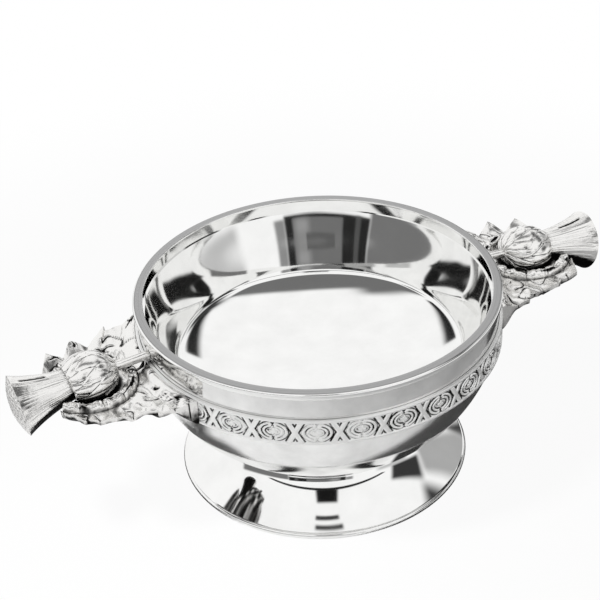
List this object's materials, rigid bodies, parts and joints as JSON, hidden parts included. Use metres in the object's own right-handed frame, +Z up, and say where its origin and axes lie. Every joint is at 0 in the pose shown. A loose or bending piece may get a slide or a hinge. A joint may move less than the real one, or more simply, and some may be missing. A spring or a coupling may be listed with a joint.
{
  "type": "quaich",
  "caption": "Shallow polished pewter drinking bowl with cast thistle lugs, a flat lip, an ornamental band and a low trumpet-shaped foot.",
  "frame": {"origin": "centre of the foot's underside, on the table", "axes": "+Z up along the bowl's axis, +X along the line through both lugs"},
  "size_m": [0.1992, 0.1142, 0.0628],
  "materials": {
    "polished_pewter": "spun pewter, polished to a mirror",
    "satin_pewter": "turned pewter, satin",
    "cast_pewter": "cast pewter, bright on the high parts and darkened in the recesses"
  },
  "bodies": {
    "root": {"liner": "polished_pewter", "body": "polished_pewter", "foot": "polished_pewter", "rim_ring": "satin_pewter", "band": "cast_pewter", "leaf_left": "cast_pewter", "leaf_right": "cast_pewter", "thistle_left": "cast_pewter", "thistle_right": "cast_pewter"}
  },
  "joints": []
}
